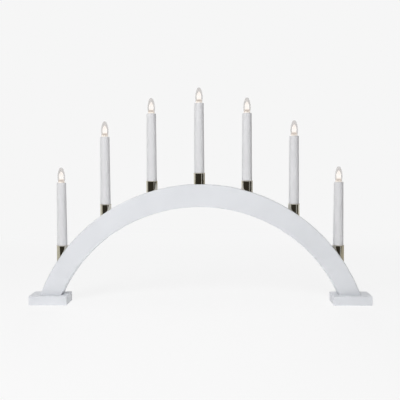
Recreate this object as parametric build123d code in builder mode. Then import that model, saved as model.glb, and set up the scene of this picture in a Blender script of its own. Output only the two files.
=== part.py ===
from build123d import *
from collections import namedtuple
from math import acos, asin, atan2, degrees, hypot, sin, cos, sqrt, tan
import os

os.makedirs("parts", exist_ok=True)

# An electric candle arch: a painted wooden arch on two feet, with seven candles in nickel-plated cups.
# Millimetres, +Z up, the front towards -Y, and the origin on the floor under the crown.

# Feet
overall_width = 650.0
foot_width = 73.0
foot_height = 17.4
foot_step = 11.6  # shows in front of the arch, and behind it
foot_inreach = 12.2  # reaches in past the leg
foot_edge_round = 1.0

# Arch band, thicker at the crown than at the legs
crown_height = 228.4
crown_thickness = 43.0
leg_width = 40.9  # the flat end that stands on the foot
arch_side_wall = 2.4  # wood in front of a cup, and behind it
arch_edge_round = 1.8
leg_stub = 1.0  # the straight end of a leg, on its foot

# Places of the candles, from the middle out to the end of the leg, mirrored on the left
candle_place_shares = (0, 0.2969, 0.5887, 0.8656)

# Candle sleeves, moulded with a slight taper and a closed top
sleeve_length = 156.0
sleeve_bottom_radius = 9.85
sleeve_top_radius = 8.8
sleeve_wall = 1.2
sleeve_top_plate = 1.2
sleeve_edge_round = 0.9

# Nickel-plated cups with a rolled rim, in flat-bottomed pockets
middle_cup_height = 24.8
near_cup_height = 29.15
far_cup_height = 28.45
end_cup_height = 36.85  # clears the arch where it is steep
cup_wall = 1.0
cup_floor = 0.6
cup_bottom_round = 0.5
cup_fit = 0.1  # round the sleeve
rim_bead_height = 1.2
rim_bead_swell = 0.35
middle_pocket_depth = 3.0  # below the low side of the cup
near_pocket_depth = 6.3
far_pocket_depth = 4.6
end_pocket_depth = 2.8
pocket_fit = 0.1

# Bulbs: an E10 cap with a flange, a lit core and a clear pointed shell
cap_radius = 4.75
cap_shell_length = 9.0
cap_insulator_height = 1.2
cap_tip_radius = 1.6
cap_tip_height = 0.9
cap_flange_radius = 6.4
cap_flange_thickness = 0.8
glass_height = 27.0
glass_radius = 7.2
glass_foot_radius = 6.3
glass_wall = 0.8
glass_tip_radius = 4.0
glass_belly_share = 0.30  # height of the widest place
light_base_height = 3.4
light_core_height = 15.5
light_core_radius = 4.4
light_core_waist = 0.8  # drawn in at the foot of the core
light_tip_radius = 1.4
light_belly_share = 0.35
light_fit = 0.2
bulb_gap = 0.3  # between the cap's flange and the holder's collar

# Lampholders in the sleeve tops
holder_fit = 0.1
holder_wall = 1.2
holder_floor = 3.0
holder_skirt = 9.6
collar_height = 1.5
collar_radius = 6.6
shell_wall = 0.4
shell_fit = 0.05
shell_set_in = 0.6
thread_fit = 0.1  # between the cap and the shell
shell_ring_radius = 2.9
tail_length = 6.0
tail_width = 2.4

# Sprung centre contacts, a plunger in a barrel
contact_head_radius = 2.0
contact_head_height = 0.6
contact_gap = 0.2
contact_stem_radius = 0.9
contact_stem_length = 6.2
contact_run_fit = 0.05
barrel_wall = 0.45
barrel_length = 8.5
barrel_end = 0.6

# Wiring in a groove under the arch, with a cover strip
wire_radius = 0.9
wire_fit = 0.1
wire_bend = 2.4
lead_drop = 6.0  # straight down from the pocket, before the lead hole turns to the groove
crimp_radius = 1.6
crimp_length = 6.0
crimp_fit = 0.05
cover_thickness = 2.4
cover_shoulder = 2.0
cover_fit = 0.05
channel_height = 6.6

# Cord inlet in the back of the right foot
cord_radius = 2.75
grommet_wall = 1.65
grommet_length = 9.0
grommet_flange_radius = 5.6
grommet_flange_thickness = 1.2
grommet_mouth_bevel = 0.8
grommet_fit = 0.05
well_radius = 5.2
well_floor = 4.0  # wood left under the well
well_reach = 8.0  # how far the wires come down into the well

# Countersunk screws that hold the feet on
screw_length = 40.0
screw_radius = 2.2
screw_head_radius = 4.2
screw_point = 6.0
screw_set_in = 0.4
screw_recess_length = 4.6
screw_recess_width = 0.9
screw_recess_depth = 1.6
screw_fit = 0.05
screw_half_spacing = 8.0
screw_from_leg_end = 22.0  # in from the outside of the leg

overrun = 5.0  # how far a cut passes its surface

# Sizes that follow from the fits
cup_inner_radius = sleeve_bottom_radius + cup_fit
cup_radius = cup_inner_radius + cup_wall
rim_radius = cup_radius + rim_bead_swell
pocket_radius = cup_radius + pocket_fit
arch_depth = 2 * (pocket_radius + arch_side_wall)
foot_depth = arch_depth + 2 * foot_step
foot_centre = (overall_width - foot_width) / 2
leg_inner = overall_width / 2 - foot_width + foot_inreach
leg_outer = leg_inner + leg_width
screw_x = leg_outer - screw_from_leg_end
screw_ys = (-screw_half_spacing, screw_half_spacing)
screw_places = [(side * screw_x, y) for side in (-1, 1) for y in screw_ys]
recess_arm = (screw_recess_length, screw_recess_width)
screw_hole_radius = screw_radius + screw_fit
holder_radius = sleeve_top_radius - sleeve_wall - holder_fit
shell_inner_radius = cap_radius + thread_fit
shell_outer_radius = shell_inner_radius + shell_wall
socket_radius = shell_outer_radius + shell_fit
barrel_bore = contact_stem_radius + contact_run_fit
barrel_radius = barrel_bore + barrel_wall
cap_length = cap_shell_length + cap_insulator_height + cap_tip_height
grommet_radius = cord_radius + grommet_wall


def arc_radius(half_span, rise):
    """Radius of the circle through a crown and two ends."""
    return (rise**2 + half_span**2) / (2 * rise)


# The two curves of the arch, each a circle through its crown and its leg ends
leg_top = foot_height + leg_stub
inner_crown = crown_height - crown_thickness
outer_radius = arc_radius(leg_outer, crown_height - leg_top)
inner_radius = arc_radius(leg_inner, inner_crown - leg_top)
outer_centre = crown_height - outer_radius
inner_centre = inner_crown - inner_radius

# The groove's circles, and the leads beside a candle's axis
cover_circle = inner_radius + cover_thickness
channel_circle = cover_circle + channel_height
wire_circle = cover_circle + wire_fit + wire_radius
lead_offset = barrel_radius + wire_radius + wire_fit
link_offset = lead_offset - 2 * crimp_radius - wire_fit
lead_hole_radius = hypot(lead_offset, link_offset) + wire_radius + wire_fit
channel_width = 2 * (lead_offset + wire_radius + wire_fit)
cover_width = channel_width + 2 * cover_shoulder
tail_x = lead_offset + wire_radius + wire_fit

# Heights of the lampholder, measured from the underside of the bulb's flange
collar_top = -bulb_gap
sleeve_top = collar_top - collar_height
holder_top = sleeve_top - sleeve_top_plate
contact_top = -cap_length
socket_floor = contact_top - contact_head_height - contact_gap - shell_wall
holder_floor_under = socket_floor - holder_floor
holder_bottom = holder_floor_under - holder_skirt
lead_top = holder_floor_under - wire_fit

# Each candle: its place, pocket floor, cup height, bulb seat, and the elbow and lean of its lead hole
Candle = namedtuple("Candle", "x floor cup_height seat elbow lean")
pocket_depths = (middle_pocket_depth, near_pocket_depth, far_pocket_depth, end_pocket_depth)
cup_heights = (middle_cup_height, near_cup_height, far_cup_height, end_cup_height)


def place_candle(share, pocket_depth, cup_height):
    """Stand a candle in a pocket that is cut below the low side of its cup."""
    x = leg_outer * share
    low_side = x + cup_radius
    floor = outer_centre + sqrt(outer_radius**2 - low_side**2) - pocket_depth
    seat = floor + cup_floor + sleeve_length - sleeve_top
    elbow = floor - lead_drop
    return Candle(x, floor, cup_height, seat, elbow, atan2(x, elbow - inner_centre))


right_half = [place_candle(*sizes) for sizes in zip(candle_place_shares, pocket_depths, cup_heights)]
left_half = [candle._replace(x=-candle.x, lean=-candle.lean) for candle in right_half[:0:-1]]
candles = left_half + right_half


def turning_plane(candle, z):
    """Front-facing plane on a candle's axis, for turned profiles."""
    return Plane((candle.x, 0, z), x_dir=(1, 0, 0), z_dir=(0, -1, 0))


def turning_axis(candle):
    return Axis((candle.x, 0, 0), (0, 0, 1))


standing = (Align.CENTER, Align.MIN)
upwards = (Align.CENTER, Align.CENTER, Align.MIN)
downwards = (Align.CENTER, Align.CENTER, Align.MAX)

# The arch: the band, its pockets, lead holes, wiring groove and pilot holes
above_feet = crown_height - foot_height

with BuildPart() as arch:
    with BuildSketch(Plane.XZ):
        with Locations((0, outer_centre)):
            Circle(outer_radius)
        with Locations((0, inner_centre)):
            Circle(inner_radius, mode=Mode.SUBTRACT)
        with Locations((0, leg_top - overrun)):
            Rectangle(overall_width, crown_height, align=standing, mode=Mode.INTERSECT)
    extrude(amount=arch_depth / 2, both=True)
    fillet(arch.edges().filter_by(GeomType.CIRCLE), arch_edge_round)
    split(bisect_by=Plane.XY.offset(leg_top))
    extrude(arch.faces().filter_by(Axis.Z), amount=leg_stub)

    for circle, width in ((cover_circle, cover_width), (channel_circle, channel_width)):
        with BuildSketch(Plane.XZ):
            with Locations((0, inner_centre)):
                Circle(circle)
                Circle(inner_radius - overrun, mode=Mode.SUBTRACT)
            with Locations((0, foot_height)):
                Rectangle(overall_width, above_feet, align=standing, mode=Mode.INTERSECT)
        extrude(amount=width / 2, both=True, mode=Mode.SUBTRACT)

    for candle in candles:
        with Locations((candle.x, 0, candle.floor)):
            Cylinder(pocket_radius, crown_height, align=upwards, mode=Mode.SUBTRACT)
        rim_foot = candle.floor + candle.cup_height - rim_bead_height
        with Locations((candle.x, 0, rim_foot - pocket_fit)):
            Cylinder(rim_radius + pocket_fit, crown_height, align=upwards, mode=Mode.SUBTRACT)
        lead_hole_depth = hypot(candle.x, candle.elbow - inner_centre) - wire_circle
        with Locations(Location((candle.x, 0, candle.elbow), (0, degrees(candle.lean), 0))):
            Cylinder(lead_hole_radius, lead_hole_depth, align=downwards, mode=Mode.SUBTRACT)
        with Locations((candle.x, 0, candle.elbow)):
            Sphere(lead_hole_radius, mode=Mode.SUBTRACT)
            Cylinder(lead_hole_radius, lead_drop, align=upwards, mode=Mode.SUBTRACT)

    with Locations(*screw_places):
        Cylinder(screw_hole_radius, screw_set_in + screw_length, align=upwards, mode=Mode.SUBTRACT)
arch.part.label = "arch"
export_step(arch.part, "parts/arch.step")


# The feet, with countersunk holes underneath
def make_foot(side):
    with BuildPart() as foot:
        with Locations((side * foot_centre, 0, 0)):
            Box(foot_width, foot_depth, foot_height, align=upwards)
        fillet(foot.edges(), foot_edge_round)
        for y in screw_ys:
            with Locations(Plane((side * screw_x, y, 0), z_dir=(0, 0, -1))):
                CounterSinkHole(
                    screw_hole_radius,
                    screw_head_radius + screw_set_in + screw_fit,
                    depth=foot_height,
                    counter_sink_angle=90,
                )
    return foot


left_foot = make_foot(-1)
left_foot.part.label = "left_foot"
export_step(left_foot.part, "parts/left_foot.step")

# The right foot also has the cord inlet: a well under the groove and a bore from the back
groove_end = acos((foot_height - inner_centre) / wire_circle)
wire_end = acos((foot_height - well_reach - inner_centre) / wire_circle)
well_x = wire_circle * (sin(groove_end) + sin(wire_end)) / 2
well_y = (lead_offset + link_offset) / 2
inlet_height = foot_height / 2
foot_back = foot_depth / 2
inlet_mouth = Plane((well_x, foot_back, inlet_height), z_dir=(0, 1, 0))

with BuildPart() as right_foot:
    add(make_foot(1).part)
    with Locations((well_x, well_y, well_floor)):
        Cylinder(well_radius, foot_height, align=upwards, mode=Mode.SUBTRACT)
    with Locations(inlet_mouth):
        CounterBoreHole(
            grommet_radius + grommet_fit,
            grommet_flange_radius + grommet_fit,
            grommet_flange_thickness,
            depth=foot_back - well_y,
        )
right_foot.part.label = "right_foot"
export_step(right_foot.part, "parts/right_foot.step")

# The screws, from under the feet up into the leg ends
with BuildPart() as foot_screws:
    for x, y in screw_places:
        with BuildSketch(Plane((x, y, screw_set_in), x_dir=(1, 0, 0), z_dir=(0, -1, 0))):
            with BuildLine():
                Polyline(
                    (0, 0),
                    (screw_head_radius, 0),
                    (screw_radius, screw_head_radius - screw_radius),
                    (screw_radius, screw_length - screw_point),
                    (0, screw_length),
                    close=True,
                )
            make_face()
        revolve(axis=Axis((x, y, 0), (0, 0, 1)))
        with Locations((x, y, screw_set_in)):
            for arm in (recess_arm, recess_arm[::-1]):
                Box(*arm, screw_recess_depth, align=upwards, mode=Mode.SUBTRACT)
foot_screws.part.label = "foot_screws"
export_step(foot_screws.part, "parts/foot_screws.step")

# The bush that lines the cord inlet, flush with the back of the foot
with BuildPart() as cord_grommet:
    with BuildSketch(Plane((well_x, foot_back, inlet_height))):
        with BuildLine():
            Polyline(
                (cord_radius, -grommet_length),
                (grommet_radius, -grommet_length),
                (grommet_radius, -grommet_flange_thickness),
                (grommet_flange_radius, -grommet_flange_thickness),
                (grommet_flange_radius, 0),
                (cord_radius + grommet_mouth_bevel, 0),
                (cord_radius, -grommet_mouth_bevel),
                close=True,
            )
        make_face()
    revolve(axis=Axis((well_x, 0, inlet_height), (0, 1, 0)))
cord_grommet.part.label = "cord_grommet"
export_step(cord_grommet.part, "parts/cord_grommet.step")

# The strip that closes the wiring groove, flush with the underside of the arch
with BuildPart() as wire_cover:
    with BuildSketch(Plane.XZ):
        with Locations((0, inner_centre)):
            Circle(cover_circle - cover_fit)
            Circle(inner_radius, mode=Mode.SUBTRACT)
        with Locations((0, foot_height)):
            Rectangle(overall_width, above_feet, align=standing, mode=Mode.INTERSECT)
    extrude(amount=cover_width / 2 - cover_fit, both=True)
wire_cover.part.label = "wire_cover"
export_step(wire_cover.part, "parts/wire_cover.step")


# The wiring: links from candle to candle, a feed and a return to the inlet
def groove_point(angle):
    """Point of the wires' circle at an angle from the crown."""
    return (wire_circle * sin(angle), inner_centre + wire_circle * cos(angle))


def lead_corners(candle, offset, turn):
    """Corners of a lead from the lampholder to the groove, and the angle where it joins the groove."""
    swing = offset + turn * wire_bend
    reach = wire_circle + wire_bend
    along = sqrt(reach**2 - swing**2)
    out_x, out_z = sin(candle.lean), cos(candle.lean)
    top = (candle.x + offset, candle.seat + lead_top)
    elbow = (candle.x + offset, candle.elbow - offset * tan(candle.lean / 2))
    low = (along * out_x + offset * out_z, inner_centre + along * out_z - offset * out_x)
    corners = [top, low] if candle.lean == 0 else [top, elbow, low]
    return corners, candle.lean + asin(swing / reach)


def draw_run(corners):
    """Draw a lead, rounded at its elbow where it has one."""
    if len(corners) > 2:
        FilletPolyline(*corners, radius=wire_bend)
    else:
        Line(*corners)


def make_wire(y, left, left_offset, right=None, right_offset=0):
    """A wire in a plane at y, from one candle round the groove to the next or to the inlet."""
    down, first = lead_corners(left, left_offset, 1)
    up, last = lead_corners(right, right_offset, -1) if right else ([], wire_end)
    with BuildPart() as wire:
        with BuildLine(Plane.XZ.offset(-y)) as route:
            draw_run(down)
            RadiusArc(down[-1], groove_point(first), -wire_bend)
            ThreePointArc(groove_point(first), groove_point((first + last) / 2), groove_point(last))
            if right:
                RadiusArc(groove_point(last), up[-1], -wire_bend)
                draw_run(up[::-1])
        path = route.wires()[0]
        with BuildSketch(Plane(path @ 0, z_dir=path % 0)):
            Circle(wire_radius)
        sweep(path=path)
    return wire


with BuildPart() as wire_loom:
    for left, right in zip(candles, candles[1:]):
        add(make_wire(link_offset, left, lead_offset, right, -lead_offset).part)
    add(make_wire(link_offset, candles[-1], lead_offset).part)
    add(make_wire(lead_offset, candles[0], 0).part)
wire_loom.part.label = "wire_loom"
export_step(wire_loom.part, "parts/wire_loom.step")

# The crimped ends of the feed and the return, in the well of the right foot
crimp_start = wire_end - crimp_length / wire_circle

with BuildPart() as lead_crimps:
    for y in (link_offset, lead_offset):
        with BuildLine(Plane.XZ.offset(-y)) as crimp_route:
            ThreePointArc(
                groove_point(crimp_start),
                groove_point((crimp_start + wire_end) / 2),
                groove_point(wire_end),
            )
        with BuildSketch(Plane(crimp_route.line @ 0, z_dir=crimp_route.line % 0)):
            Circle(crimp_radius)
            Circle(wire_radius + crimp_fit, mode=Mode.SUBTRACT)
        sweep(path=crimp_route.line)
lead_crimps.part.label = "lead_crimps"
export_step(lead_crimps.part, "parts/lead_crimps.step")

# The threaded shells in the lampholders, each with a solder tail through the holder's floor
with BuildPart() as screw_shells:
    for candle in candles:
        with BuildSketch(turning_plane(candle, candle.seat)):
            with BuildLine():
                Polyline(
                    (shell_inner_radius, collar_top - shell_set_in),
                    (shell_outer_radius, collar_top - shell_set_in),
                    (shell_outer_radius, socket_floor),
                    (shell_ring_radius, socket_floor),
                    (shell_ring_radius, socket_floor + shell_wall),
                    (shell_inner_radius, socket_floor + shell_wall),
                    close=True,
                )
            make_face()
        revolve(axis=turning_axis(candle))
        with Locations((candle.x + tail_x, link_offset, candle.seat + socket_floor)):
            Box(shell_wall, tail_width, tail_length, align=(Align.MIN, Align.CENTER, Align.MAX))
screw_shells.part.label = "screw_shells"
export_step(screw_shells.part, "parts/screw_shells.step")

# The fixed barrels of the centre contacts
with BuildPart() as contact_barrels:
    for candle in candles:
        with BuildSketch(turning_plane(candle, candle.seat + socket_floor)):
            with BuildLine():
                Polyline(
                    (barrel_bore, 0),
                    (barrel_radius, 0),
                    (barrel_radius, -barrel_length),
                    (0, -barrel_length),
                    (0, barrel_end - barrel_length),
                    (barrel_bore, barrel_end - barrel_length),
                    close=True,
                )
            make_face()
        revolve(axis=turning_axis(candle))
contact_barrels.part.label = "contact_barrels"
export_step(contact_barrels.part, "parts/contact_barrels.step")


# Pieces that every candle has
def make_cup(candle):
    top = candle.cup_height
    rim_foot = (cup_radius, top - rim_bead_height)
    turn_in = (cup_radius - cup_bottom_round, 0)
    turn_up = (cup_radius, cup_bottom_round)
    with BuildPart() as cup:
        with BuildSketch(turning_plane(candle, candle.floor)):
            with BuildLine():
                Polyline(
                    (cup_radius, top),
                    (cup_inner_radius, top),
                    (cup_inner_radius, cup_floor),
                    (lead_hole_radius, cup_floor),
                    (lead_hole_radius, 0),
                    turn_in,
                )
                RadiusArc(turn_in, turn_up, -cup_bottom_round)
                Line(turn_up, rim_foot)
                ThreePointArc(rim_foot, (rim_radius, top - rim_bead_height / 2), (cup_radius, top))
            make_face()
        revolve(axis=turning_axis(candle))
    return cup


def make_sleeve(candle):
    with BuildPart() as sleeve:
        with BuildSketch(turning_plane(candle, candle.floor + cup_floor)):
            with BuildLine():
                Polyline(
                    (sleeve_bottom_radius - sleeve_wall, 0),
                    (sleeve_bottom_radius, 0),
                    (sleeve_top_radius, sleeve_length),
                    (collar_radius + holder_fit, sleeve_length),
                    (collar_radius + holder_fit, sleeve_length - sleeve_top_plate),
                    (sleeve_top_radius - sleeve_wall, sleeve_length - sleeve_top_plate),
                    close=True,
                )
            make_face()
        revolve(axis=turning_axis(candle))
        top_edges = sleeve.edges().filter_by(GeomType.CIRCLE).group_by(Axis.Z)[-1]
        fillet(top_edges.sort_by(SortBy.RADIUS)[-1], sleeve_edge_round)
    return sleeve


def make_lampholder(candle):
    with BuildPart() as holder:
        with BuildSketch(turning_plane(candle, candle.seat)):
            with BuildLine():
                Polyline(
                    (socket_radius, collar_top),
                    (collar_radius, collar_top),
                    (collar_radius, holder_top),
                    (holder_radius, holder_top),
                    (holder_radius, holder_bottom),
                    (holder_radius - holder_wall, holder_bottom),
                    (holder_radius - holder_wall, holder_floor_under),
                    (barrel_radius + shell_fit, holder_floor_under),
                    (barrel_radius + shell_fit, socket_floor),
                    (socket_radius, socket_floor),
                    close=True,
                )
            make_face()
        revolve(axis=turning_axis(candle))
        with Locations((candle.x + tail_x - shell_fit, link_offset, candle.seat + socket_floor)):
            Box(
                shell_wall + 2 * shell_fit,
                tail_width + 2 * shell_fit,
                holder_floor,
                align=(Align.MIN, Align.CENTER, Align.MAX),
                mode=Mode.SUBTRACT,
            )
    return holder


def make_contact(candle):
    with BuildPart() as contact:
        with BuildSketch(turning_plane(candle, candle.seat + contact_top)):
            with BuildLine():
                Polyline(
                    (0, 0),
                    (contact_head_radius, 0),
                    (contact_head_radius, -contact_head_height),
                    (contact_stem_radius, -contact_head_height),
                    (contact_stem_radius, -contact_head_height - contact_stem_length),
                    (0, -contact_head_height - contact_stem_length),
                    close=True,
                )
            make_face()
        revolve(axis=turning_axis(candle))
    return contact


def make_bulb_cap(candle):
    with BuildPart() as cap:
        with BuildSketch(turning_plane(candle, candle.seat)):
            with BuildLine():
                Polyline(
                    (0, contact_top),
                    (cap_tip_radius, contact_top),
                    (cap_tip_radius, contact_top + cap_tip_height),
                    (cap_radius, -cap_shell_length),
                    (cap_radius, 0),
                    (cap_flange_radius, 0),
                    (cap_flange_radius, cap_flange_thickness),
                    (0, cap_flange_thickness),
                    close=True,
                )
            make_face()
        revolve(axis=turning_axis(candle))
    return cap


def draw_flame(radius, belly, top, tip_radius):
    """Draw the side of a candle-shaped bulb, from its widest place up to its rounded tip."""
    # The side's circle is centred level with the belly, and the tip's sphere touches it from inside
    rise = top - belly - tip_radius
    side_radius = (radius**2 + rise**2 - tip_radius**2) / (2 * (radius - tip_radius))
    stretch = tip_radius / (side_radius - tip_radius)
    tip_centre = top - tip_radius
    shoulder = ((side_radius - radius) * stretch, tip_centre + rise * stretch)
    halfway = atan2(shoulder[0], shoulder[1] - tip_centre) / 2
    TangentArc((radius, belly), shoulder, tangent=(0, 1))
    ThreePointArc(
        shoulder,
        (tip_radius * sin(halfway), tip_centre + tip_radius * cos(halfway)),
        (0, top),
    )


def make_bulb_glass(candle):
    belly = glass_height * glass_belly_share
    with BuildPart() as glass:
        with BuildSketch(turning_plane(candle, candle.seat + cap_flange_thickness)):
            with BuildLine():
                for inset in (0, glass_wall):
                    radius = glass_radius - inset
                    foot = (glass_foot_radius - inset, 0)
                    TangentArc((radius, belly), foot, tangent=(0, -1))
                    draw_flame(radius, belly, glass_height - inset, glass_tip_radius - inset)
                Line((0, glass_height), (0, glass_height - glass_wall))
                Line((glass_foot_radius, 0), (glass_foot_radius - glass_wall, 0))
            make_face()
        revolve(axis=turning_axis(candle))
    return glass


def make_bulb_light(candle):
    base_radius = glass_foot_radius - glass_wall - light_fit
    core_foot = light_core_radius - light_core_waist
    belly = light_base_height + light_core_height * light_belly_share
    top = light_base_height + light_core_height
    with BuildPart() as light:
        with BuildSketch(turning_plane(candle, candle.seat + cap_flange_thickness)):
            with BuildLine():
                Polyline(
                    (0, top),
                    (0, 0),
                    (base_radius, 0),
                    (base_radius, light_base_height),
                    (core_foot, light_base_height),
                )
                TangentArc((light_core_radius, belly), (core_foot, light_base_height), tangent=(0, -1))
                draw_flame(light_core_radius, belly, top, light_tip_radius)
            make_face()
        revolve(axis=turning_axis(candle))
    return light


for number, candle in enumerate(candles, start=1):
    pieces = {
        "candle_cup": make_cup(candle),
        "candle_sleeve": make_sleeve(candle),
        "lampholder": make_lampholder(candle),
        "contact": make_contact(candle),
        "bulb_cap": make_bulb_cap(candle),
        "bulb_glass": make_bulb_glass(candle),
        "bulb_light": make_bulb_light(candle),
    }
    for name, piece in pieces.items():
        piece.part.label = f"{name}_{number}"
        export_step(piece.part, f"parts/{name}_{number}.step")
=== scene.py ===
import bmesh
import bpy
from math import atan2, cos, pi, radians, sin
from mathutils import Matrix, Vector


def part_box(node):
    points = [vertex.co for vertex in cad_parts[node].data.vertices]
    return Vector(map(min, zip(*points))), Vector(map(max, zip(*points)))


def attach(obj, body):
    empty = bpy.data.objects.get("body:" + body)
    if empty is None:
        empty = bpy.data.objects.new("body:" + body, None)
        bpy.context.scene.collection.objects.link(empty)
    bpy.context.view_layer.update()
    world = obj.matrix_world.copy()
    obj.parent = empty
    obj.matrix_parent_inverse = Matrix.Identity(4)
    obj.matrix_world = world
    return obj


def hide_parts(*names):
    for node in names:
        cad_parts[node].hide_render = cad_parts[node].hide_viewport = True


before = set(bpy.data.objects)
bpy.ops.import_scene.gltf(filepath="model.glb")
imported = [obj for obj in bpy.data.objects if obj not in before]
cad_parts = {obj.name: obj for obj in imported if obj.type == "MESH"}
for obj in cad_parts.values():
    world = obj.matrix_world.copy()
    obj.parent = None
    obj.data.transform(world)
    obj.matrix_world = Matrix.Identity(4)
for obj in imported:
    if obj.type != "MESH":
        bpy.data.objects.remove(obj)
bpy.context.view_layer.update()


# The arch: one flat board sawn to a bow, its edges eased, sealed and sprayed with white satin lacquer.
# The lacquer is a cool white. It has a soft sheen, a fine orange peel, and a trace of the board's grain.
def paint(code):
    """Linear colour of an sRGB hex code."""
    shares = [int(code[i:i + 2], 16) / 255 for i in (1, 3, 5)]
    return [s / 12.92 if s <= 0.04045 else ((s + 0.055) / 1.055) ** 2.4 for s in shares] + [1.0]


def add_node(tree, kind, links, **settings):
    """Add a node with its settings, and fill each socket with a value or with another node's output."""
    node = tree.nodes.new(kind)
    for name, value in settings.items():
        setattr(node, name, value)
    for socket, value in links.items():
        if isinstance(value, bpy.types.NodeSocket):
            tree.links.new(value, node.inputs[socket])
        else:
            node.inputs[socket].default_value = value
    return node


def new_finish(name):
    """A material with one shader, and the tree and shader to work on."""
    finish = bpy.data.materials.new(name)
    finish.use_nodes = True
    return finish, finish.node_tree, finish.node_tree.nodes["Principled BSDF"]


def dress(node_name, finish):
    """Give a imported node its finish."""
    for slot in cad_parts[node_name].material_slots:
        slot.material = finish


satin_lacquer, tree, shader = new_finish("satin_white_lacquer")
place = add_node(tree, "ShaderNodeTexCoord", {}).outputs["Object"]
# Orange peel is about 1 mm in life; 2.5 mm here, so that it shows at this distance
peel = add_node(tree, "ShaderNodeTexNoise", {"Vector": place, "Scale": 1 / 0.0025, "Detail": 2.0})
# Grain runs along the board: streaks about 3 mm apart and 60 mm long
along_board = add_node(
    tree, "ShaderNodeMapping", {"Vector": place, "Scale": (1 / 0.060, 1 / 0.003, 1 / 0.003)}
)
grain = add_node(
    tree, "ShaderNodeTexNoise", {"Vector": along_board.outputs["Vector"], "Scale": 1.0, "Detail": 3.0}
)
# Spray passes leave clouds about 80 mm wide
cloud = add_node(tree, "ShaderNodeTexNoise", {"Vector": place, "Scale": 1 / 0.080, "Detail": 2.0})
tint = add_node(tree, "ShaderNodeValToRGB", {"Fac": cloud.outputs["Fac"]})
tint.color_ramp.elements[0].position = 0.30
tint.color_ramp.elements[0].color = paint("#E2E4E8")
tint.color_ramp.elements[1].position = 0.70
tint.color_ramp.elements[1].color = paint("#E7E9ED")
sheen = add_node(
    tree, "ShaderNodeMapRange", {"Value": grain.outputs["Fac"], "To Min": 0.36, "To Max": 0.50}
)
peel_bump = add_node(
    tree, "ShaderNodeBump", {"Height": peel.outputs["Fac"], "Strength": 0.10, "Distance": 0.00015}
)
grain_bump = add_node(
    tree,
    "ShaderNodeBump",
    {
        "Height": grain.outputs["Fac"],
        "Strength": 0.10,
        "Distance": 0.00020,
        "Normal": peel_bump.outputs["Normal"],
    },
)
tree.links.new(tint.outputs["Color"], shader.inputs["Base Color"])
tree.links.new(sheen.outputs["Result"], shader.inputs["Roughness"])
tree.links.new(grain_bump.outputs["Normal"], shader.inputs["Normal"])
shader.inputs["Specular IOR Level"].default_value = 0.3
dress("arch", satin_lacquer)


# The feet: two blocks of the same board, their edges eased.
# They are sprayed with the arch's lacquer and screwed on from below.
dress("left_foot", satin_lacquer)
dress("right_foot", satin_lacquer)


# The foot screws: countersunk wood screws of zinc-plated steel, driven up into the legs.
# Bright zinc is a blue-grey metal, a little milky and uneven.
bright_zinc, tree, shader = new_finish("bright_zinc_plate")
place = add_node(tree, "ShaderNodeTexCoord", {}).outputs["Object"]
# Milky patches are about 4 mm wide
bloom = add_node(tree, "ShaderNodeTexNoise", {"Vector": place, "Scale": 1 / 0.004, "Detail": 3.0})
zinc = add_node(tree, "ShaderNodeValToRGB", {"Fac": bloom.outputs["Fac"]})
zinc.color_ramp.elements[0].color = paint("#B4B9BF")
zinc.color_ramp.elements[1].color = paint("#D2D6DA")
dull = add_node(
    tree, "ShaderNodeMapRange", {"Value": bloom.outputs["Fac"], "To Min": 0.28, "To Max": 0.42}
)
tree.links.new(zinc.outputs["Color"], shader.inputs["Base Color"])
tree.links.new(dull.outputs["Result"], shader.inputs["Roughness"])
shader.inputs["Metallic"].default_value = 1.0
dress("foot_screws", bright_zinc)


# The cord inlet's bush: a moulded ring of white nylon, pressed into the back of the right foot.
# Nylon is a warm, slightly waxy white.
white_nylon, tree, shader = new_finish("moulded_white_nylon")
place = add_node(tree, "ShaderNodeTexCoord", {}).outputs["Object"]
# Flow marks are about 2 mm wide
speck = add_node(tree, "ShaderNodeTexNoise", {"Vector": place, "Scale": 1 / 0.002, "Detail": 2.0})
wax = add_node(tree, "ShaderNodeValToRGB", {"Fac": speck.outputs["Fac"]})
wax.color_ramp.elements[0].color = paint("#DAD8D2")
wax.color_ramp.elements[1].color = paint("#E6E4DF")
tree.links.new(wax.outputs["Color"], shader.inputs["Base Color"])
shader.inputs["Roughness"].default_value = 0.45
dress("cord_grommet", white_nylon)


# The wire cover: a strip of white hard board, bent to the arch's inner curve.
# It is pressed into the groove under the arch and sprayed with it.
dress("wire_cover", satin_lacquer)


# The wiring: stranded copper in white PVC, strung from candle to candle in the groove.
# PVC is smooth and a little glossy. The crimps on its two ends are tinned, and look like the zinc.
white_pvc, tree, shader = new_finish("white_pvc_jacket")
place = add_node(tree, "ShaderNodeTexCoord", {}).outputs["Object"]
# Handling marks are about 12 mm long
handling = add_node(tree, "ShaderNodeTexNoise", {"Vector": place, "Scale": 1 / 0.012, "Detail": 2.0})
jacket = add_node(tree, "ShaderNodeValToRGB", {"Fac": handling.outputs["Fac"]})
jacket.color_ramp.elements[0].color = paint("#DEDDD9")
jacket.color_ramp.elements[1].color = paint("#E9E8E5")
tree.links.new(jacket.outputs["Color"], shader.inputs["Base Color"])
shader.inputs["Roughness"].default_value = 0.35
dress("wire_loom", white_pvc)
dress("lead_crimps", bright_zinc)


# The cups: drawn from sheet brass with a rolled rim, nickel plated and polished.
# One sits in each pocket of the arch. Polished nickel is a slightly warm mirror.
# The polishing leaves rings round it, and hands leave faint smears.
candle_numbers = range(1, 8)
polished_nickel, tree, shader = new_finish("polished_nickel_plate")
place = add_node(tree, "ShaderNodeTexCoord", {}).outputs["Object"]
# The rings are under 0.1 mm in life; 0.5 mm here, so that they show
round_cup = add_node(
    tree, "ShaderNodeMapping", {"Vector": place, "Scale": (1 / 0.060, 1 / 0.060, 1 / 0.0005)}
)
ring = add_node(
    tree, "ShaderNodeTexNoise", {"Vector": round_cup.outputs["Vector"], "Scale": 1.0, "Detail": 1.0}
)
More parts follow.
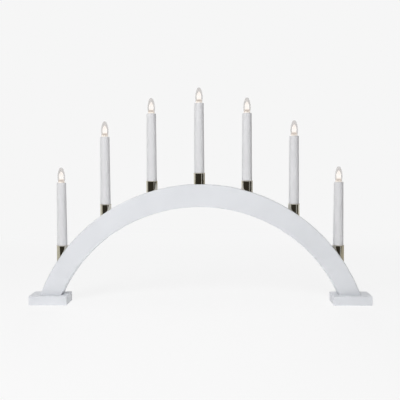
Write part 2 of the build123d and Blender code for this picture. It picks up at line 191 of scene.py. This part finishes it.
# Smears are about 9 mm wide, like a fingertip
smear = add_node(tree, "ShaderNodeTexNoise", {"Vector": place, "Scale": 1 / 0.009, "Detail": 3.0})
plate = add_node(tree, "ShaderNodeValToRGB", {"Fac": smear.outputs["Fac"]})
plate.color_ramp.elements[0].position = 0.35
plate.color_ramp.elements[0].color = paint("#E2DED2")
plate.color_ramp.elements[1].position = 0.65
plate.color_ramp.elements[1].color = paint("#EAE6DB")
mirror = add_node(
    tree, "ShaderNodeMapRange", {"Value": smear.outputs["Fac"], "To Min": 0.03, "To Max": 0.08}
)
ring_bump = add_node(
    tree, "ShaderNodeBump", {"Height": ring.outputs["Fac"], "Strength": 0.05, "Distance": 0.00005}
)
tree.links.new(plate.outputs["Color"], shader.inputs["Base Color"])
tree.links.new(mirror.outputs["Result"], shader.inputs["Roughness"])
tree.links.new(ring_bump.outputs["Normal"], shader.inputs["Normal"])
shader.inputs["Metallic"].default_value = 1.0
for number in candle_numbers:
    dress(f"candle_cup_{number}", polished_nickel)


# The candle sleeves: injection-moulded white polypropylene tubes, tapered so that they leave the mould.
# The mould's spark-eroded face gives a fine satin grain.
satin_plastic, tree, shader = new_finish("satin_white_polypropylene")
place = add_node(tree, "ShaderNodeTexCoord", {}).outputs["Object"]
# Spark grain is about 0.1 mm in life; 0.8 mm here, so that it shows
spark = add_node(tree, "ShaderNodeTexNoise", {"Vector": place, "Scale": 1 / 0.0008, "Detail": 2.0})
# The melt's flow leaves clouds about 30 mm wide
flow = add_node(tree, "ShaderNodeTexNoise", {"Vector": place, "Scale": 1 / 0.030, "Detail": 2.0})
milk = add_node(tree, "ShaderNodeValToRGB", {"Fac": flow.outputs["Fac"]})
milk.color_ramp.elements[0].position = 0.30
milk.color_ramp.elements[0].color = paint("#DEDEE0")
milk.color_ramp.elements[1].position = 0.70
milk.color_ramp.elements[1].color = paint("#E2E2E4")
satin = add_node(
    tree, "ShaderNodeMapRange", {"Value": flow.outputs["Fac"], "To Min": 0.42, "To Max": 0.54}
)
spark_bump = add_node(
    tree, "ShaderNodeBump", {"Height": spark.outputs["Fac"], "Strength": 0.02, "Distance": 0.00006}
)
tree.links.new(milk.outputs["Color"], shader.inputs["Base Color"])
tree.links.new(satin.outputs["Result"], shader.inputs["Roughness"])
tree.links.new(spark_bump.outputs["Normal"], shader.inputs["Normal"])
for number in candle_numbers:
    dress(f"candle_sleeve_{number}", satin_plastic)


# The lampholders: white urea mouldings in the tops of the sleeves. Only a collar shows under each bulb.
# Urea is hard, a warm white, and glossier than the sleeves.
# The bulb's light on the collar is painted in as a faint warm glow.
painted_collar_glow = 0.22
painted_glow_code = "#FFF0E8"
for number in candle_numbers:
    white_urea, tree, shader = new_finish(f"moulded_white_urea_{number}")
    sleeve_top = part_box(f"candle_sleeve_{number}")[1][2]
    place = add_node(tree, "ShaderNodeTexCoord", {}).outputs["Object"]
    # Flow marks are about 3 mm wide
    speck = add_node(tree, "ShaderNodeTexNoise", {"Vector": place, "Scale": 1 / 0.003, "Detail": 2.0})
    warm_white = add_node(tree, "ShaderNodeValToRGB", {"Fac": speck.outputs["Fac"]})
    warm_white.color_ramp.elements[0].color = paint("#E9E4DC")
    warm_white.color_ramp.elements[1].color = paint("#F0ECE5")
    rise = add_node(tree, "ShaderNodeSeparateXYZ", {"Vector": place})
    # Painted glow: the part above the sleeve top glows with the bulb's light
    collar = add_node(
        tree, "ShaderNodeMath", {0: rise.outputs["Z"], 1: sleeve_top}, operation="GREATER_THAN"
    )
    shine = add_node(tree, "ShaderNodeMapRange", {"Value": collar.outputs["Value"], "To Max": painted_collar_glow})
    tree.links.new(warm_white.outputs["Color"], shader.inputs["Base Color"])
    tree.links.new(shine.outputs["Result"], shader.inputs["Emission Strength"])
    shader.inputs["Emission Color"].default_value = paint(painted_glow_code)
    shader.inputs["Roughness"].default_value = 0.30
    dress(f"lampholder_{number}", white_urea)


# The screw shells, contact barrels and contacts: brass stamped and drawn from strip, left as it comes.
# Raw strip brass is yellow and a little dull.
strip_brass, tree, shader = new_finish("stamped_strip_brass")
place = add_node(tree, "ShaderNodeTexCoord", {}).outputs["Object"]
# Tarnish comes in spots about 3 mm wide
tarnish = add_node(tree, "ShaderNodeTexNoise", {"Vector": place, "Scale": 1 / 0.003, "Detail": 3.0})
strip = add_node(tree, "ShaderNodeValToRGB", {"Fac": tarnish.outputs["Fac"]})
strip.color_ramp.elements[0].color = paint("#BFA060")
strip.color_ramp.elements[1].color = paint("#DDBF7E")
tree.links.new(strip.outputs["Color"], shader.inputs["Base Color"])
shader.inputs["Metallic"].default_value = 1.0
shader.inputs["Roughness"].default_value = 0.30
dress("screw_shells", strip_brass)
dress("contact_barrels", strip_brass)
for number in candle_numbers:
    dress(f"contact_{number}", strip_brass)


# The bulb caps: screw caps drawn from thin brass, rolled to an E10 thread and nickel plated.
# The flange on top carries the glass. It is dipped in white enamel, and has the collar's painted glow for
# the bulb's light.
# The shell below it stays bare metal.
flange_thickness = 0.0008
flange_radius = 0.0064
enamel_depth = 1.2 * flange_thickness
shell_radius = 0.00475
shell_length = 0.0090
insulator_height = 0.0012
tip_radius = 0.0016
tip_height = 0.0009
thread_pitch = 0.001814
thread_depth = 0.00045
thread_rows = 50
row_height = shell_length / thread_rows
thread_run_out = 1 / 8  # share of the shell at each end
cap_sides = 48
merge_gap = 1e-6
sharp_angle = radians(40)


def add_mesh(name, mesh_maker, finish):
    """A new object at the origin from a bmesh."""
    mesh = bpy.data.meshes.new(name)
    mesh_maker.to_mesh(mesh)
    mesh_maker.free()
    mesh.materials.append(finish)
    thing = bpy.data.objects.new(name, mesh)
    bpy.context.scene.collection.objects.link(thing)
    return thing


def roll_thread(blank, middle, shell_foot):
    """Press a right-hand thread into the shell of a cap, fading out at both ends."""
    for point in blank.verts:
        climb = point.co.z - shell_foot
        outward = Vector((point.co.x - middle[0], point.co.y - middle[1], 0.0))
        on_shell = row_height / 2 < climb < shell_length - row_height / 2
        if on_shell and outward.length > tip_radius:
            share = climb / shell_length
            turn = atan2(outward.y, outward.x) / (2 * pi)
            press = 0.5 - 0.5 * cos(2 * pi * (climb / thread_pitch - turn))
            ease = min(1.0, share / thread_run_out, (1.0 - share) / thread_run_out)
            point.co -= outward.normalized() * thread_depth * press * ease


for number in candle_numbers:
    nickel_cap, tree, shader = new_finish(f"nickel_cap_{number}")
    low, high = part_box(f"bulb_cap_{number}")
    place = add_node(tree, "ShaderNodeTexCoord", {}).outputs["Object"]
    # The plate is hazy in patches about 2 mm wide
    haze = add_node(tree, "ShaderNodeTexNoise", {"Vector": place, "Scale": 1 / 0.002, "Detail": 2.0})
    nickel = add_node(tree, "ShaderNodeValToRGB", {"Fac": haze.outputs["Fac"]})
    nickel.color_ramp.elements[0].color = paint("#C6C1B6")
    nickel.color_ramp.elements[1].color = paint("#DAD6CC")
    rise = add_node(tree, "ShaderNodeSeparateXYZ", {"Vector": place})
    bare = add_node(
        tree,
        "ShaderNodeMath",
        {0: rise.outputs["Z"], 1: high[2] - enamel_depth},
        operation="LESS_THAN",
    )
    coat = add_node(
        tree,
        "ShaderNodeMix",
        {"Factor": bare.outputs["Value"], "A": paint("#E8E3DA"), "B": nickel.outputs["Color"]},
        data_type="RGBA",
    )
    gloss = add_node(
        tree, "ShaderNodeMapRange", {"Value": bare.outputs["Value"], "To Min": 0.35, "To Max": 0.22}
    )
    # Painted glow: the enamelled flange glows with the bulb's light, the bare shell does not
    shine = add_node(
        tree, "ShaderNodeMapRange", {"Value": bare.outputs["Value"], "To Min": painted_collar_glow, "To Max": 0.0}
    )
    tree.links.new(coat.outputs["Result"], shader.inputs["Base Color"])
    tree.links.new(bare.outputs["Value"], shader.inputs["Metallic"])
    tree.links.new(gloss.outputs["Result"], shader.inputs["Roughness"])
    tree.links.new(shine.outputs["Result"], shader.inputs["Emission Strength"])
    shader.inputs["Emission Color"].default_value = paint(painted_glow_code)
    dress(f"bulb_cap_{number}", nickel_cap)
    # The cap is turned as one blank, and then the thread is rolled into its shell
    seat = high[2] - flange_thickness
    shell_foot = seat - shell_length
    tip_top = shell_foot - insulator_height
    middle = ((low[0] + high[0]) / 2, (low[1] + high[1]) / 2, 0.0)
    side = [(0.0, tip_top - tip_height), (tip_radius, tip_top - tip_height), (tip_radius, tip_top)]
    side += [(shell_radius, shell_foot + row * row_height) for row in range(thread_rows + 1)]
    side += [(flange_radius, seat), (flange_radius, high[2]), (0.0, high[2])]
    blank = bmesh.new()
    points = [blank.verts.new((middle[0] + radius, middle[1], level)) for radius, level in side]
    lines = [blank.edges.new(pair) for pair in zip(points, points[1:])]
    bmesh.ops.spin(
        blank,
        geom=points + lines,
        cent=middle,
        axis=(0, 0, 1),
        angle=2 * pi,
        steps=cap_sides,
        use_merge=True,
    )
    bmesh.ops.remove_doubles(blank, verts=blank.verts, dist=merge_gap)
    bmesh.ops.recalc_face_normals(blank, faces=blank.faces)
    roll_thread(blank, middle, shell_foot)
    for face in blank.faces:
        face.smooth = True
    for edge in blank.edges:
        edge.smooth = edge.calc_face_angle(pi) < sharp_angle
    threaded_cap = add_mesh(f"threaded_cap_{number}", blank, nickel_cap)
    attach(threaded_cap, f"bulb_{number}")
    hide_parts(f"bulb_cap_{number}")


# The bulb shells: soda-lime glass blown to a candle-flame point, clear, and cemented to the cap.
# Blown glass is smooth, with slow waves in its wall.
clear_glass, tree, shader = new_finish("clear_blown_glass")
place = add_node(tree, "ShaderNodeTexCoord", {}).outputs["Object"]
# The waves are about 6 mm apart
wave = add_node(tree, "ShaderNodeTexNoise", {"Vector": place, "Scale": 1 / 0.006, "Detail": 1.0})
wave_bump = add_node(
    tree, "ShaderNodeBump", {"Height": wave.outputs["Fac"], "Strength": 0.10, "Distance": 0.0002}
)
tree.links.new(wave_bump.outputs["Normal"], shader.inputs["Normal"])
shader.inputs["Base Color"].default_value = paint("#EAE8E7")
shader.inputs["Roughness"].default_value = 0.02
shader.inputs["IOR"].default_value = 1.50
shader.inputs["Transmission Weight"].default_value = 1.0
for number in candle_numbers:
    dress(f"bulb_glass_{number}", clear_glass)


# The lit cores: flame-shaped opal polycarbonate on a short base, with the light source inside.
# They glow a warm white, whitest at the belly. The base below the light glows a dim grey-brown, painted
# light on it.
for number in candle_numbers:
    lit_opal, tree, shader = new_finish(f"lit_opal_{number}")
    low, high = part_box(f"bulb_light_{number}")
    height = high[2] - low[2]
    place = add_node(tree, "ShaderNodeTexCoord", {}).outputs["Object"]
    up_core = add_node(
        tree,
        "ShaderNodeMapping",
        {"Vector": place, "Location": (0.0, 0.0, -low[2] / height), "Scale": (0.0, 0.0, 1 / height)},
    )
    rise = add_node(tree, "ShaderNodeSeparateXYZ", {"Vector": up_core.outputs["Vector"]})
    glow = add_node(tree, "ShaderNodeValToRGB", {"Fac": rise.outputs["Z"]})
    # The base below the light gets a dim painted glow for the light that falls on it
    glow.color_ramp.elements[0].position = 0.17
    glow.color_ramp.elements[0].color = paint("#C9BFB7")
    glow.color_ramp.elements[1].position = 0.23
    glow.color_ramp.elements[1].color = paint("#FFF9F3")
    for share, code in ((0.40, "#FFFEFC"), (0.65, "#FFFBF6"), (1.0, "#FBF4EE")):
        glow.color_ramp.elements.new(share).color = paint(code)
    tree.links.new(glow.outputs["Color"], shader.inputs["Emission Color"])
    shader.inputs["Emission Strength"].default_value = 1.20
    shader.inputs["Base Color"].default_value = paint("#5C5852")
    shader.inputs["Roughness"].default_value = 0.35
    dress(f"bulb_light_{number}", lit_opal)


# The studio: pale paper on a table lit from below, a dark room in front of the object, and soft light.
# The paper and the air behind it show as one even pale grey, and the paper keeps a faint shadow.
backdrop_code = "#F6F6F6"
floor_half = 6.0
shadow_reach = 1.3
shadow_share = 0.15
fade_share = 0.45  # of the way in, where the shadow has its full share
table_glow = 0.32


def add_seen(tree):
    """A factor that is 1 for what the eye sees, straight on, in a mirror or through glass."""
    ray = add_node(tree, "ShaderNodeLightPath", {})
    direct = add_node(
        tree,
        "ShaderNodeMath",
        {0: ray.outputs["Is Camera Ray"], 1: ray.outputs["Is Glossy Ray"]},
        operation="MAXIMUM",
    )
    seen = add_node(
        tree,
        "ShaderNodeMath",
        {0: direct.outputs["Value"], 1: ray.outputs["Is Transmission Ray"]},
        operation="MAXIMUM",
    )
    return seen.outputs["Value"]


paper, tree, shader = new_finish("pale_paper")
shader.inputs["Base Color"].default_value = paint(backdrop_code)
shader.inputs["Roughness"].default_value = 1.0
shader.inputs["Specular IOR Level"].default_value = 0.0
shader.inputs["Emission Color"].default_value = paint("#FFFFFF")
shader.inputs["Emission Strength"].default_value = table_glow
place = add_node(tree, "ShaderNodeTexCoord", {}).outputs["Object"]
near = add_node(tree, "ShaderNodeMapping", {"Vector": place, "Scale": [1 / shadow_reach] * 3})
fade = add_node(
    tree, "ShaderNodeTexGradient", {"Vector": near.outputs["Vector"]}, gradient_type="SPHERICAL"
)
keep = add_node(
    tree,
    "ShaderNodeMapRange",
    {"Value": fade.outputs["Fac"], "From Max": fade_share, "To Max": shadow_share},
)
even = add_node(tree, "ShaderNodeMath", {0: 1.0, 1: keep.outputs["Result"]}, operation="SUBTRACT")
flat = add_node(tree, "ShaderNodeMath", {0: add_seen(tree), 1: even.outputs["Value"]}, operation="MULTIPLY")
pale = add_node(tree, "ShaderNodeEmission", {"Color": paint(backdrop_code), "Strength": 1.0})
blend = add_node(
    tree,
    "ShaderNodeMixShader",
    {"Fac": flat.outputs["Value"], 1: shader.outputs["BSDF"], 2: pale.outputs["Emission"]},
)
tree.links.new(blend.outputs["Shader"], tree.nodes["Material Output"].inputs["Surface"])
sheet = bmesh.new()
bmesh.ops.create_grid(sheet, x_segments=1, y_segments=1, size=floor_half)
floor = add_mesh("floor", sheet, paper)

# The dark room is painted: sheets glowing even colours, hung and laid dark in front of the object
# and grey at its two sides, standing for felt. Only mirrors see them: the room's shade and light are
# painted reflections.
room_radius = 3.2
room_height = 2.6
room_steps = 48
rug_lift = 0.001
rug_half = 0.50
black_rug_back = -0.46
black_rug_left_back = -1.75
black_rug_right_back = -0.50
left_rug_back = 0.40
right_rug_back = 1.2
room_cards = []


def glowing_reflection_sheet(name, code):
    """A sheet that glows one even colour: a painted reflection of the room's shade and light."""
    felt, tree, shader = new_finish(name)
    shader.inputs["Base Color"].default_value = paint("#000000")
    shader.inputs["Specular IOR Level"].default_value = 0.0
    shader.inputs["Emission Color"].default_value = paint(code)
    shader.inputs["Emission Strength"].default_value = 1.0
    return felt


def hang_reflection_sheet(name, code, first, last):
    """A glowing sheet hung round the room between two angles, in degrees from straight in front."""
    start = radians(first)
    cloth = bmesh.new()
    foot = cloth.verts.new((room_radius * sin(start), -room_radius * cos(start), 0.0))
    head = cloth.verts.new((foot.co.x, foot.co.y, room_height))
    edge = cloth.edges.new((foot, head))
    bmesh.ops.spin(
        cloth,
        geom=[foot, head, edge],
        cent=(0, 0, 0),
        axis=(0, 0, 1),
        angle=radians(last) - start,
        steps=room_steps,
    )
    room_cards.append(add_mesh(name, cloth, glowing_reflection_sheet(name, code)))


def lay_reflection_sheet(name, code, corners, lift):
    """A glowing sheet laid on the paper."""
    cloth = bmesh.new()
    cloth.faces.new([cloth.verts.new((x, y, lift)) for x, y in corners])
    room_cards.append(add_mesh(name, cloth, glowing_reflection_sheet(name, code)))


black_rug_corners = (
    (-room_radius, -room_radius),
    (room_radius, -room_radius),
    (room_radius, black_rug_right_back),
    (rug_half, black_rug_back),
    (-rug_half, black_rug_back),
    (-room_radius, black_rug_left_back),
)
dark_reflection_code = "#322F28"
left_reflection_code = "#C2C1B7"
right_reflection_code = "#A6A296"
hang_reflection_sheet("black_curtain", dark_reflection_code, first=-80, last=116)
hang_reflection_sheet("left_curtain", left_reflection_code, first=-116, last=-80)
hang_reflection_sheet("right_curtain", right_reflection_code, first=116, last=150)
lay_reflection_sheet("black_rug", dark_reflection_code, black_rug_corners, 2 * rug_lift)
for side, side_name, code, back in (
    (-1, "left_rug", left_reflection_code, left_rug_back),
    (1, "right_rug", right_reflection_code, right_rug_back),
):
    side_corners = [
        (side * rug_half, -room_radius),
        (side * room_radius, -room_radius),
        (side * room_radius, back),
        (side * rug_half, back),
    ]
    lay_reflection_sheet(side_name, code, side_corners, rug_lift)

# A tall narrow strip glowing in the dark, which only mirrors see: a painted highlight, the bright line in
# each cup
strip_azimuth = 48
strip_width = 0.48
strip_height = 1.6
strip_gap = 0.1
strip_highlight, tree, shader = new_finish("strip_lamp_highlight")
shader.inputs["Base Color"].default_value = paint("#000000")
shader.inputs["Emission Color"].default_value = paint("#FFFFFF")
shader.inputs["Emission Strength"].default_value = 0.50
swing = Matrix.Rotation(radians(strip_azimuth), 3, "Z")
pane = bmesh.new()
bmesh.ops.create_grid(pane, x_segments=1, y_segments=1, size=0.5)
bmesh.ops.scale(pane, vec=(strip_width, strip_height, 1.0), verts=pane.verts)
bmesh.ops.rotate(pane, cent=(0, 0, 0), matrix=Matrix.Rotation(pi / 2, 3, "X"), verts=pane.verts)
bmesh.ops.translate(pane, vec=(0, strip_gap - room_radius, strip_height / 2), verts=pane.verts)
bmesh.ops.rotate(pane, cent=(0, 0, 0), matrix=swing, verts=pane.verts)
room_cards.append(add_mesh("strip_lamp_highlight", pane, strip_highlight))
# A painted reflection of its light runs in across the rug, narrow near the object
beam_near_gap = 0.62
beam_near_width = 0.08
beam = bmesh.new()
beam_corners = (
    (-strip_width / 2, -room_radius),
    (strip_width / 2, -room_radius),
    (beam_near_width / 2, -beam_near_gap),
    (-beam_near_width / 2, -beam_near_gap),
)
beam.faces.new([beam.verts.new((x, y, 3 * rug_lift)) for x, y in beam_corners])
bmesh.ops.rotate(beam, cent=(0, 0, 0), matrix=swing, verts=beam.verts)
room_cards.append(add_mesh("strip_beam", beam, strip_highlight))
for card in room_cards:
    card.visible_camera = False
    card.visible_diffuse = False
    card.visible_transmission = False
    card.visible_shadow = False

# The lights: a softbox above the camera and a little left, a weak one at the left,
# one overhead, and one behind


def hang_lamp(name, place, aim, size, watts):
    """A square softbox that lights the object and is seen in no mirror."""
    lamp = bpy.data.lights.new(name, "AREA")
    lamp.shape = "SQUARE"
    lamp.size = size
    lamp.energy = watts
    softbox = bpy.data.objects.new(name, lamp)
    towards = Vector(aim) - Vector(place)
    facing = towards.to_track_quat("-Z", "Y").to_matrix().to_4x4()
    softbox.matrix_world = Matrix.Translation(place) @ facing
    softbox.visible_camera = False
    softbox.visible_glossy = False
    softbox.visible_transmission = False
    bpy.context.scene.collection.objects.link(softbox)


lamp_aim = (0.0, 0.0, 0.18)
hang_lamp("key_softbox", place=(-0.42, -1.42, 1.28), aim=lamp_aim, size=0.80, watts=20.2)
hang_lamp("left_softbox", place=(-2.0, -0.3, 0.6), aim=lamp_aim, size=1.2, watts=1.5)
hang_lamp("top_softbox", place=(0.0, 0.0, 2.2), aim=lamp_aim, size=1.6, watts=7.5)
hang_lamp("back_softbox", place=(0.0, 2.2, 0.8), aim=lamp_aim, size=0.8, watts=15.0)

# The air: an even pale grey to the eye, and a weaker fill on the object
fill_strength = 0.09
air = bpy.data.worlds.new("air")
air.use_nodes = True
tree = air.node_tree
fill = tree.nodes["Background"]
fill.inputs["Color"].default_value = paint("#FFFFFF")
fill.inputs["Strength"].default_value = fill_strength
pale = add_node(tree, "ShaderNodeBackground", {"Color": paint(backdrop_code), "Strength": 1.0})
blend = add_node(
    tree,
    "ShaderNodeMixShader",
    {"Fac": add_seen(tree), 1: fill.outputs["Background"], 2: pale.outputs["Background"]},
)
tree.links.new(blend.outputs["Shader"], tree.nodes["World Output"].inputs["Surface"])
bpy.context.scene.world = air

# The camera: a little right of the middle, just above the crown, turned slightly left and down
camera_place = (0.0345, -1.3051, 0.2746)
camera_yaw = 0.02555
camera_pitch = 0.0585
camera_roll = -0.0042
focal_pixels = 685.7
image_pixels = 400
lens = bpy.data.cameras.new("camera")
lens.lens = focal_pixels / image_pixels * lens.sensor_width
camera = bpy.data.objects.new("camera", lens)
camera.matrix_world = (
    Matrix.Translation(camera_place)
    @ Matrix.Rotation(camera_yaw, 4, "Z")
    @ Matrix.Rotation(pi / 2 - camera_pitch, 4, "X")
    @ Matrix.Rotation(camera_roll, 4, "Z")
)
bpy.context.scene.collection.objects.link(camera)
bpy.context.scene.camera = camera
bpy.context.scene.view_settings.view_transform = "Standard"
